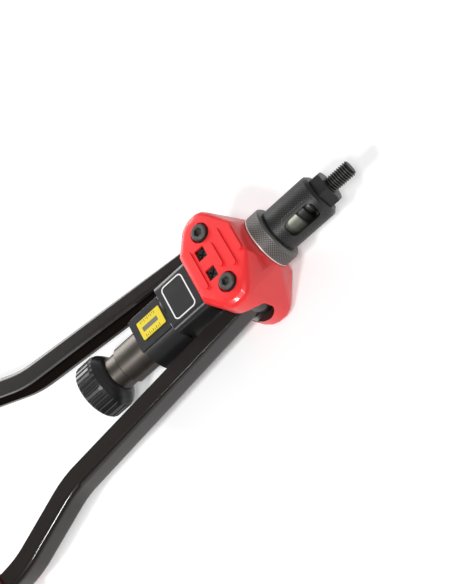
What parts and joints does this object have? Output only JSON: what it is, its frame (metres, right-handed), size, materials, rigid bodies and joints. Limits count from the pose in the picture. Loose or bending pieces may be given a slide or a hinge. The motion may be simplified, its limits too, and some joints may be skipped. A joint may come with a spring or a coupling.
{
  "type": "rivet nut tool",
  "caption": "Two-handed lever tool that pulls a threaded mandrel to set rivet nuts, with a cast head, knurled nose housing, lock ring, stroke scale and hand knob.",
  "frame": {"origin": "on the tool axis, in the plane of the anvil's front face", "axes": "+X along the tool axis towards the mandrel's tip, +Y to the left arm, +Z out of the bolted face"},
  "size_m": [0.434, 0.1812, 0.0532],
  "materials": {
    "red_casting": "satin",
    "black_housing": "satin",
    "scale": "satin",
    "bolt_steel": "satin",
    "black_steel": "satin",
    "grey_steel": "satin",
    "arm_paint": "satin",
    "bronze": "satin",
    "grip": "matte",
    "satin_tube": "satin",
    "bright_steel": "satin",
    "black_knob": "gloss",
    "sleeve_steel": "satin"
  },
  "bodies": {
    "frame": {"head": "red_casting", "rear_housing": "black_housing", "scale_plate": "scale", "pivot_bolts": "bolt_steel", "pivot_nuts": "bolt_steel", "housing_screws": "bolt_steel"},
    "nose": {"nose_housing": "black_steel", "anvil": "black_steel"},
    "lock": {"lock_ring": "grey_steel"},
    "arm_l": {"arm_left": "arm_paint", "bush_left": "bronze", "pin_left": "bolt_steel", "grip_left": "grip"},
    "arm_r": {"arm_right": "arm_paint", "bush_right": "bronze", "pin_right": "bolt_steel", "grip_right": "grip"},
    "draw": {"draw_yoke": "grey_steel", "cross_plates": "grey_steel", "plate_screws": "bolt_steel", "draw_tube": "satin_tube", "thrust_bearing": "bright_steel", "end_bush": "satin_tube"},
    "spin": {"spindle": "bright_steel", "chuck": "black_steel", "mandrel": "black_steel", "knob": "black_knob", "knob_screw": "bolt_steel"},
    "sleeve": {"chuck_sleeve": "sleeve_steel"}
  },
  "joints": [
    {"name": "left_arm", "type": "hinge", "parent": "frame", "child": "arm_l", "pos_m": [-0.0728, 0.0187, 0], "axis": [0, 0, -1], "range_deg": [0, 50]},
    {"name": "right_arm", "type": "hinge", "parent": "frame", "child": "arm_r", "pos_m": [-0.0728, -0.0187, 0], "axis": [0, 0, 1], "range_deg": [0, 50]},
    {"name": "draw_slide", "type": "slide", "parent": "frame", "child": "draw", "axis": [1, 0, 0], "range_m": [0, 0.0068]},
    {"name": "knob_spin", "type": "hinge", "parent": "draw", "child": "spin", "pos_m": [-0.12, 0, 0], "axis": [1, 0, 0], "continuous": true},
    {"name": "sleeve_slide", "type": "slide", "parent": "spin", "child": "sleeve", "axis": [-1, 0, 0], "range_m": [0, 0.0034], "stiffness_N_per_m": 200},
    {"name": "ring_turn", "type": "hinge", "parent": "frame", "child": "lock", "pos_m": [-0.048, 0, 0], "axis": [1, 0, 0], "range_deg": [-180, 180]},
    {"name": "nose_turn", "type": "hinge", "parent": "frame", "child": "nose", "pos_m": [-0.03, 0, 0], "axis": [1, 0, 0], "range_deg": [-180, 180]}
  ],
  "couplings": [
    {"joint": "right_arm", "follows": "left_arm", "ratio": 1},
    {"joint": "draw_slide", "follows": "left_arm", "m_per_rad": 0.00775}
  ]
}
